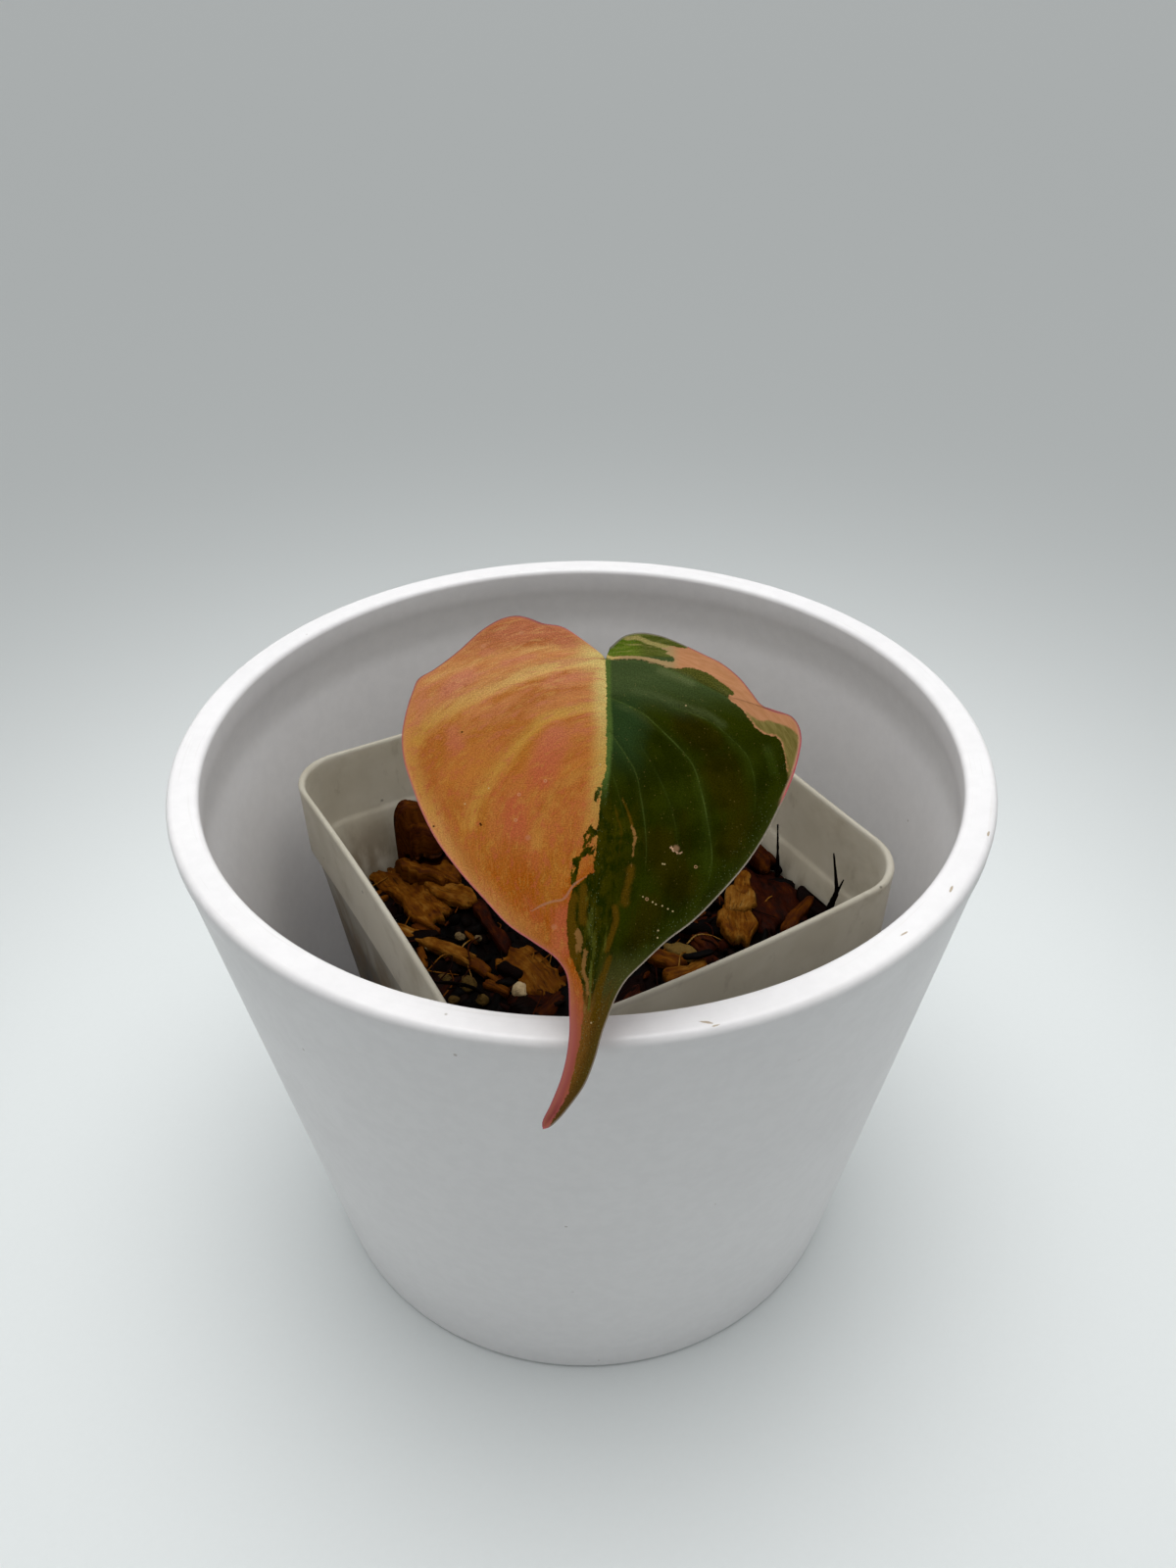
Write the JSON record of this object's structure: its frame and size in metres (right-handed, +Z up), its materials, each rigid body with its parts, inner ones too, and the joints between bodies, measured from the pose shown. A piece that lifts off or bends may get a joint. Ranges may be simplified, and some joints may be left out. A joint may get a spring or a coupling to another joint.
{
  "type": "potted variegated micans philodendron",
  "caption": "Young variegated micans philodendron with one heart-shaped leaf, in a square nursery pot of chunky mix inside a round white cover pot.",
  "frame": {"origin": "middle of the cover pot's flat base, on the surface that it stands on", "axes": "+Z up along the cover pot's axis, -Y towards the leaf's tip, +X to the right as seen from the leaf's tip"},
  "size_m": [0.14, 0.1514, 0.1452],
  "materials": {
    "white_plastic": "satin",
    "milky_plastic": "satin",
    "bark_mix": "matte",
    "vine": "matte",
    "stalk": "satin",
    "leaf": "matte"
  },
  "bodies": {
    "root": {"cachepot": "white_plastic", "nursery_pot": "milky_plastic", "potting_mix": "bark_mix", "vine_stem": "vine", "petiole": "stalk", "leaf_blade": "leaf"}
  },
  "joints": []
}
